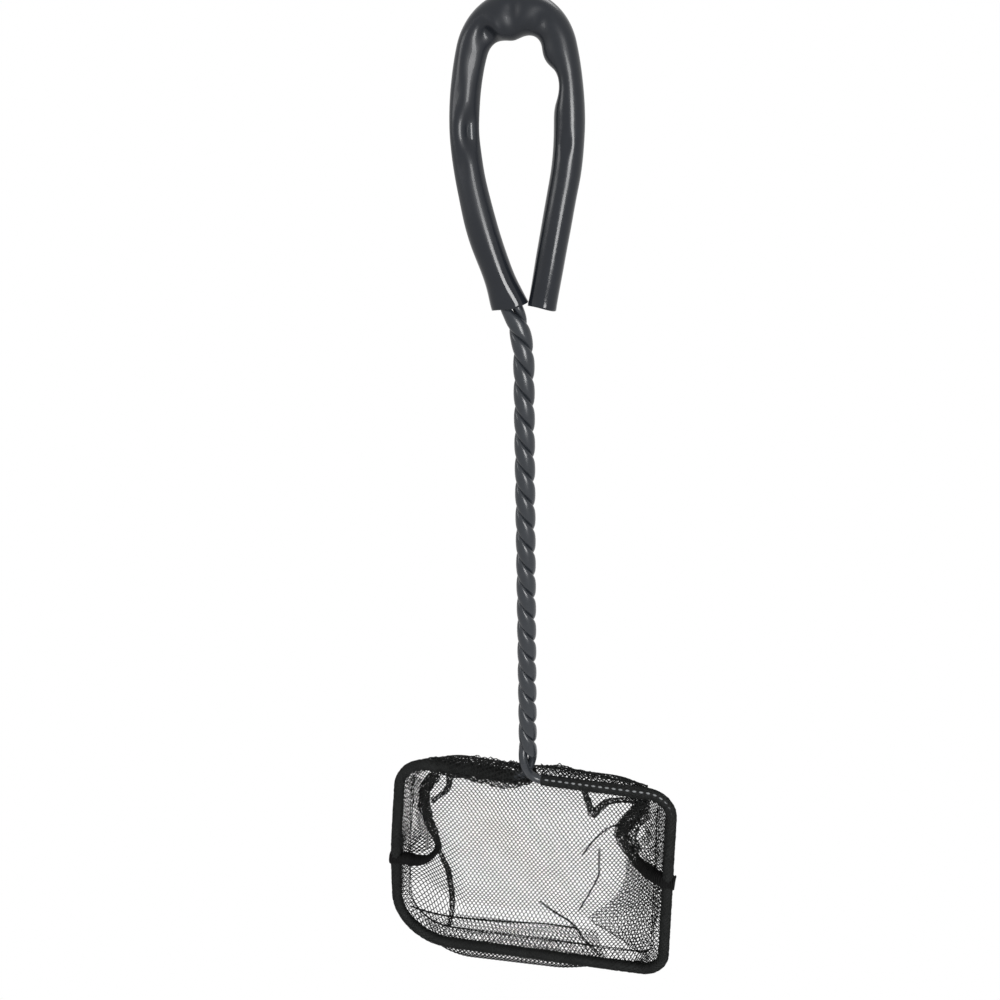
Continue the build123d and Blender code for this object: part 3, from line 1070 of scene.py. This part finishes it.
class FISHNET_OT_rim(bpy.types.Operator):
    """Draw the hem of the netting round the hoop wire"""

    bl_idname = "fishnet.rim"
    bl_label = "Rim Hem"

    def execute(self, context):
        colours = context.scene.fishnet_colours
        netting = yarn("netting_yarn", colours.netting)
        radius = context.scene.fishnet_sizes.rim_radius / METRE
        route, side, back = hem_line(RIM_STEP)
        outward = around(side[:, None], back[:, None], full_turn(RIM_SIDES))
        swell = wobble(route[:, None] + outward * radius, *RIM_WAVES)
        rings = route[:, None] + outward * (radius - RIM_INSET + swell)[..., None]
        body = ring_mesh("rim_body", rings, netting)
        chains = []
        for seed, cell in enumerate(KNIT_CELLS, KNIT_SEED):
            layer = rolled_net(route, [radius + KNIT_LIFT], cell, 1, KNIT_ROUGHNESS, seed)
            chains += layer[0]
        knit = thread("rim_knit", chains, KNIT_RADIUS, netting, KNIT_SIDES)
        # Light-grey beads along the top bar paint the highlight of the wire seen through the hem
        top = route[(route[:, 2] > HOOP_TOP - GLINT_DROP) & (route[:, 0] > GLINT_START)]
        line = top + GLINT_WAY * (radius + GLINT_LIFT)
        highlight_yarn = yarn("hem_glint", colours.glint)
        painted_highlights = beads("rim_painted_highlights", [line], GLINT_SPACING, GLINT_SIZE, highlight_yarn)
        settled(joined("rim_hem", [body, knit, painted_highlights]), "rim_casing")
        return {"FINISHED"}


# Flats round a thread of the bag
NET_SIDES = 3


class FISHNET_OT_bag(bpy.types.Operator):
    """Knit the bag and hang it behind the hoop"""

    bl_idname = "fishnet.bag"
    bl_label = "Netting Bag"

    def execute(self, context):
        sizes = context.scene.fishnet_sizes
        grid, width, height = bag_grid()
        chains = net_on(grid, width, height, sizes.cell / METRE)
        netting = yarn("netting_yarn", context.scene.fishnet_colours.netting)
        radius = sizes.yarn_diameter / METRE / 2
        piece = shown("bag_netting", thread("bag_netting", chains, radius, netting, NET_SIDES))
        settled(piece, "net_bag")
        width * METRE
        height * METRE
        return {"FINISHED"}


# Rolls along the top bar: ends, depths at even places, lift, radii, layers and roughness; the left
# one moves back behind the foot of the shaft
TOP_ROLLS = (
    ((-43.0, 2.0), (1.2,) * 8 + (3.6,), -0.2, (0.6, 2.8, 3.6, 4.2, 4.4, 4.3, 2.6), 4, 0.3),
    ((4.0, 43.0), (3.6,) * 8, 0.2, (3.2, 3.4, 2.9, 2.4, 1.8, 1.5, 1.3, 0.3), 1, 0.3),
)
# Folds: picture column and row of each place, and its depth behind the hoop unless it lies on the
# bag; then radii from end to end, layers and roughness
LEFT_FOLD = (
    (436, 774, 4.0), (425, 789, 5.0), (425, 808, 6.5), (431, 826, 8.0), (437, 840, 9.0),
    (439, 848, 9.5),
)
LEFT_STRIP = ((439, 848), (447, 868), (452, 888), (452, 906), (449, 926))
LEFT_LOOP = ((432, 801, 6.0), (441, 795, 6.5), (448, 788, 6.5), (450, 778, 5.0))
RIGHT_FOLD = (
    (643, 797, 4.0), (637, 812, 7.0), (626, 824, 9.0), (622, 834, 10.0), (628, 847, 9.5),
    (637, 861, 8.0), (644, 869, 6.5),
)
RIGHT_TUCK = (
    (648, 800, 4.0), (645, 812, 6.0), (637, 826, 8.0), (633, 838, 8.5), (640, 850, 8.0),
)
V_FOLD = (
    (582, 786, 3.0), (588, 801, 4.5), (594, 814, 5.5), (600, 807, 5.5), (611, 801, 5.0),
    (634, 800, 4.0),
)
FOLDS = (
    (LEFT_FOLD, (2.0, 2.1, 2.2, 1.8, 1.6, 1.0), 3, 0.35),
    (LEFT_STRIP, (0.9, 1.1, 1.2, 1.2, 0.8), 2, 0.35),
    (LEFT_LOOP, (0.9, 0.8, 1.0, 1.2), 2, 0.35),
    (RIGHT_FOLD, (2.0, 2.2, 2.6, 2.6, 2.2, 2.0), 3, 0.4),
    (RIGHT_TUCK, (0.8, 1.3, 1.7, 1.4, 0.8), 1, 0.6),
    (V_FOLD, (0.9, 1.0, 1.4, 1.1, 0.9, 0.9), 2, 0.35),
)
FOLD_SEED = 30
# Creases in the back of the bag, as picture columns and rows, and the pleat along each: radius,
# roughness, height off the bag, and spread of its two threads
CREASES = (
    ((621, 822), (611, 826), (600, 833), (592, 841), (584, 852)),
    ((600, 848), (600, 862), (598, 874), (590, 890), (580, 909)),
    ((539, 899), (556, 910), (572, 922), (585, 938), (597, 951)),
    ((411, 905), (430, 911), (458, 915), (511, 920), (545, 922), (576, 925)),
)
PLEAT_RADIUS = 0.38
PLEAT_ROUGHNESS = 0.2
PLEAT_RISE = 0.7
PLEAT_SPREAD = 0.22
# Turned-in band along the rim: width, stretch of its cells, gap and depth from the wire, and how
# much deeper it goes for each millimetre inwards
BAND_WIDTH = 4.0
BAND_OPEN = 1.4
BAND_GAP = 0.9
BAND_DEPTH = 1.2
BAND_SLOPE = 0.55
# Length in metres of all gathered netting laid flat
FOLDS_LENGTH = 0.36


def top_roll(ends, depths, lift):
    """A run along the top bar."""
    across = np.linspace(*ends, len(depths))
    height = np.full(len(depths), HOOP_TOP + lift)
    return smooth_run(np.column_stack((across, depths, height)), FOLD_STEP)


def seen_run(route, spacing):
    """A smooth run through places in the picture, which lie on the bag where no depth is given."""
    places = [picture_point(*place) if len(place) == 3 else on_bag(*place) for place in route]
    return smooth_run(places, spacing)


def rim_band(cell):
    """The band of netting turned in along the rim, with a thread at its edge, and its area."""
    hem, side, back = hem_line(HOOP_STEP)
    length = run_length(hem)

    def place(along, inward):
        centre, aside, behind = between(along, length, hem, side, back)
        deep = BAND_DEPTH + BAND_SLOPE * inward
        return centre - aside * (inward + BAND_GAP)[:, None] + behind * deep[:, None]

    chains = laid(lattice(length[-1], BAND_WIDTH, cell), place)
    edge = place(length, np.full(len(length), BAND_WIDTH))
    return chains + [edge], length[-1] * BAND_WIDTH


class FISHNET_OT_folds(bpy.types.Operator):
    """Gather the slack netting in folds along the top bar and beside the seams"""

    bl_idname = "fishnet.folds"
    bl_label = "Gathered Folds"

    def execute(self, context):
        sizes = context.scene.fishnet_sizes
        cell = sizes.cell / METRE
        rise = BACK * PLEAT_RISE
        pleats = [
            smooth_run([on_bag(*place) - rise for place in crease], FOLD_STEP)
            for crease in CREASES
        ]
        rolls = [(top_roll(*roll[:3]), *roll[3:]) for roll in TOP_ROLLS]
        rolls += [(seen_run(route, FOLD_STEP), *roll) for route, *roll in FOLDS]
        rolls += [(run, (PLEAT_RADIUS,), 1, PLEAT_ROUGHNESS) for run in pleats]
        made = [
            rolled_net(run, radii, cell, layers, roughness, seed)
            for seed, (run, radii, layers, roughness) in enumerate(rolls, FOLD_SEED)
        ]
        made += [flap_net(corners, cell, seed) for seed, corners in enumerate(FLAPS, FLAP_SEED)]
        made.append(rim_band(cell * BAND_OPEN))
        beside = np.array((PLEAT_SPREAD, 0.0, PLEAT_SPREAD))
        chains = [run + beside * step for run in pleats for step in (-1, 1)]
        area = 0.0
        for gathered, size in made:
            chains += gathered
            area += size
        netting = yarn("netting_yarn", context.scene.fishnet_colours.netting)
        radius = sizes.fold_yarn / METRE / 2
        piece = shown("bag_folds", thread("bag_folds", chains, radius, netting, NET_SIDES))
        settled(piece, "net_bag")
        area * METRE * METRE / FOLDS_LENGTH
        return {"FINISHED"}


# Side seams: side, places from the rim inwards as picture column, row and depth, radii, and seed
LEFT_SEAM = (
    (390.5, 857, 0.0), (404, 858, 0.5), (416, 860, 3.0), (427, 859, 6.0), (436, 851, 8.5),
    (438, 841, 9.0),
)
RIGHT_SEAM = ((675, 883, 0.0), (663, 880, 0.5), (652, 874, 3.5), (644, 868, 6.0), (637, 861, 8.0))
SEAMS = (
    ("left", LEFT_SEAM, (2.3, 2.2, 2.0, 1.4, 0.9, 0.7), 50),
    ("right", RIGHT_SEAM, (2.4, 2.3, 2.3, 2.2, 1.9), 60),
)
# Their core's flats, and the size and length of its lumps
SEAM_SIDES = 20
SEAM_LUMP = (0.16, 1.8)
SEAM_FINE_LUMP = (0.08, 0.7)
# The overlock thread: its pitch, steps in a turn, lift off the core, radius and flats
WRAP_PITCH = 0.75
WRAP_STEPS = 14
WRAP_LIFT = 0.05
WRAP_RADIUS = 0.3
WRAP_SIDES = 5


def seam_piece(name, route, radii, material, seed):
    """A rolled seam: a lumpy core that starts over the rim, and the overlock thread round it."""
    points = seen_run(route, SEAM_STEP)
    side, back = run_frames(points)
    share = np.linspace(0, 1, len(points))
    radius = evenly(share, radii)
    outward = around(side[:, None], back[:, None], full_turn(SEAM_SIDES))
    skin = points[:, None] + outward * radius[:, None, None]
    swell = wobble(skin, (*SEAM_LUMP, seed), (*SEAM_FINE_LUMP, seed + 1))
    rings = points[:, None] + outward * (radius[:, None] + swell)[..., None]
    core = ring_mesh(name + "_core", rings, material, True)
    turns = len(points) * SEAM_STEP / WRAP_PITCH
    wind = np.linspace(0, 1, int(turns * WRAP_STEPS))
    centre, *sides = between(wind, share, points, side, back)
    reach = np.interp(wind, share, radius) + WRAP_LIFT
    helix = centre + around(*sides, wind * turns * math.tau) * reach[:, None]
    wrap = thread(name + "_wrap", [helix], WRAP_RADIUS, material, WRAP_SIDES)
    return joined(name, [core, wrap])


class FISHNET_OT_seams(bpy.types.Operator):
    """Roll and overlock both side seams"""

    bl_idname = "fishnet.seams"
    bl_label = "Side Seams"

    def execute(self, context):
        black = yarn("seam_yarn_black", context.scene.fishnet_colours.seam)
        for side, route, radii, seed in SEAMS:
            piece = seam_piece(side + "_seam", route, radii, black, seed)
            settled(piece, side + "_side_seam")
        return {"FINISHED"}


# Hem stitching: place from the wire, unevenness in depth and sideways, thread, and half-sizes of a
# stitch
HEM_INWARD = 4.2
HEM_DEPTH = 3.6
HEM_DEPTH_WAVE = (0.25, 6.0, 70)
HEM_SIDE_WAVE = (0.35, 9.0, 71)
HEM_RADIUS = 0.13
HEM_SIDES = 5
STITCH_SIZE = (0.2, 0.2, 0.75)


class FISHNET_OT_hem(bpy.types.Operator):
    """Stitch the hem round the bag behind the rim"""

    bl_idname = "fishnet.hem"
    bl_label = "Hem Stitching"

    def execute(self, context):
        spacing = context.scene.fishnet_sizes.stitch / METRE
        hem, side, back = hem_line(HOOP_STEP)
        line = hem - side * HEM_INWARD + back * HEM_DEPTH
        line[:, 1] += wobble(line, HEM_DEPTH_WAVE)
        line -= side * wobble(line, HEM_SIDE_WAVE)[:, None]
        netting = yarn("netting_yarn", context.scene.fishnet_colours.netting)
        line_mesh = thread("hem_line", [line], HEM_RADIUS, netting, HEM_SIDES)
        stitches = beads("hem_row", [line], spacing, STITCH_SIZE, netting)
        settled(joined("hem_stitches", [line_mesh, stitches]), "hem_thread")
        return {"FINISHED"}


# Stage, in metres: height and half width of the floor, reach and strength of the shadow that it
# shows, and light of the world
FLOOR_LEVEL = -0.75
FLOOR_HALF = 4.0
SHADOW_REACH = 0.36
SHADOW_SHARE = 0.5
WORLD_LIGHT = 0.45
# Lamps: name, place, width, height, and power in watts; all of them aim at one point
LAMPS = (
    ("key_light", (0.5, -0.85, -0.02), 0.34, 0.5, 12.0),
    ("fill_light", (-0.8, -0.5, 0.25), 0.4, 0.4, 3.0),
    ("top_light", (0.1, 0.35, 0.85), 0.6, 0.6, 5.0),
)
LAMP_AIM = Vector((0.0, 0.0, -0.17))
# Camera: sensor width in millimetres, and where its view begins in metres
SENSOR_WIDTH = 36.0
CLIP_START = 0.01


def lay_floor(colour):
    """A pale floor that is white to the camera, except for the shadow under the net."""
    finish = Finish("studio_floor")
    paper = finish.noise(scale=60.0, detail=3.0)
    material = finish.dressed(colour, paper, spread=0.01, values={"Roughness": 0.9})
    glow = finish.node("ShaderNodeEmission", {}, {"Color": WHITE, "Strength": 1.0})
    ends = {0: finish.place, 1: (0.0, 0.0, FLOOR_LEVEL)}
    away = finish.node("ShaderNodeVectorMath", {"operation": "DISTANCE"}, ends).outputs["Value"]
    fade = {"Value": away, "From Max": SHADOW_REACH, "To Min": SHADOW_SHARE, "To Max": 0.0}
    near = finish.node("ShaderNodeMapRange", {"interpolation_type": "SMOOTHSTEP"}, fade)
    white = finish.looked_at() * (1.0 - Term(finish, near.outputs["Result"]))
    sides = {0: white, 1: finish.shader.outputs["BSDF"], 2: glow.outputs["Emission"]}
    mix = finish.node("ShaderNodeMixShader", {}, sides)
    finish.fill(finish.output, {"Surface": mix.outputs["Shader"]})
    mesh = bpy.data.meshes.new("floor")
    reach = (-FLOOR_HALF, FLOOR_HALF)
    corners = [(x, y, FLOOR_LEVEL) for x in reach for y in reach]
    mesh.from_pydata(corners, [], [(0, 2, 3, 1)])
    mesh.materials.append(material)
    shown("floor", mesh)


def light_world(scene):
    """White where the camera, a mirror or a glass looks, soft grey light elsewhere."""
    scene.world = bpy.data.worlds.new("studio")
    scene.world.use_nodes = True
    studio = Nodes(scene.world.node_tree)
    span = {"Value": studio.looked_at(), "To Min": WORLD_LIGHT, "To Max": 1.0}
    level = studio.node("ShaderNodeMapRange", {}, span)
    light = {"Color": WHITE, "Strength": level.outputs["Result"]}
    glow = studio.node("ShaderNodeBackground", {}, light)
    surface = {"Surface": glow.outputs["Background"]}
    studio.node("ShaderNodeOutputWorld", {"is_active_output": True}, surface)


def set_lamps(scene):
    """Soft area lamps, all aimed at the middle of the net."""
    for name, place, width, height, power in LAMPS:
        lamp = bpy.data.lights.new(name, "AREA")
        lamp.shape = "RECTANGLE"
        lamp.size = width
        lamp.size_y = height
        lamp.energy = power
        stand = bpy.data.objects.new(name, lamp)
        stand.location = place
        aim = LAMP_AIM - stand.location
        stand.rotation_euler = aim.to_track_quat("-Z", "Y").to_euler()
        scene.collection.objects.link(stand)


def set_camera(scene):
    """The camera of the picture."""
    data = bpy.data.cameras.new("camera")
    data.sensor_width = SENSOR_WIDTH
    data.lens = SENSOR_WIDTH * FOCAL_SHARE
    data.clip_start = CLIP_START
    camera = bpy.data.objects.new("camera", data)
    turned = Matrix((CAMERA_RIGHT, CAMERA_UP, -CAMERA_FORWARD)).transposed().to_4x4()
    camera.matrix_world = Matrix.Translation(Vector(CAMERA_PLACE * METRE)) @ turned
    scene.collection.objects.link(camera)
    scene.camera = camera


class FISHNET_OT_stage(bpy.types.Operator):
    """Set up the floor, the soft light and the camera"""

    bl_idname = "fishnet.stage"
    bl_label = "Stage"

    def execute(self, context):
        scene = context.scene
        lay_floor(scene.fishnet_colours.floor)
        light_world(scene)
        set_lamps(scene)
        set_camera(scene)
        scene.view_settings.view_transform = "Standard"
        return {"FINISHED"}


class FISHNET_PT_panel(bpy.types.Panel):
    """Sizes, colours and steps of the fish net"""

    bl_idname = "FISHNET_PT_panel"
    bl_label = "Fish Net"
    bl_space_type = "VIEW_3D"
    bl_region_type = "UI"
    bl_category = "Fish Net"

    def draw(self, context):
        layout = self.layout
        for group in (context.scene.fishnet_sizes, context.scene.fishnet_colours):
            for name in group.__annotations__:
                layout.prop(group, name)
        for operator in OPERATORS:
            layout.operator(operator.bl_idname)


OPERATORS = (
    FISHNET_OT_wire,
    FISHNET_OT_sleeve,
    FISHNET_OT_rim,
    FISHNET_OT_bag,
    FISHNET_OT_folds,
    FISHNET_OT_seams,
    FISHNET_OT_hem,
    FISHNET_OT_stage,
)


def register():
    for group in (NetSizes, NetColours, *OPERATORS, FISHNET_PT_panel):
        bpy.utils.register_class(group)
    bpy.types.Scene.fishnet_sizes = PointerProperty(type=NetSizes)
    bpy.types.Scene.fishnet_colours = PointerProperty(type=NetColours)


def unregister():
    del bpy.types.Scene.fishnet_sizes
    del bpy.types.Scene.fishnet_colours
    for group in (FISHNET_PT_panel, *reversed(OPERATORS), NetColours, NetSizes):
        bpy.utils.unregister_class(group)


def main():
    register()
    for step in ("wire", "sleeve", "rim", "bag", "folds", "seams", "hem", "stage"):
        getattr(bpy.ops.fishnet, step)()


if __name__ == "__main__":
    main()
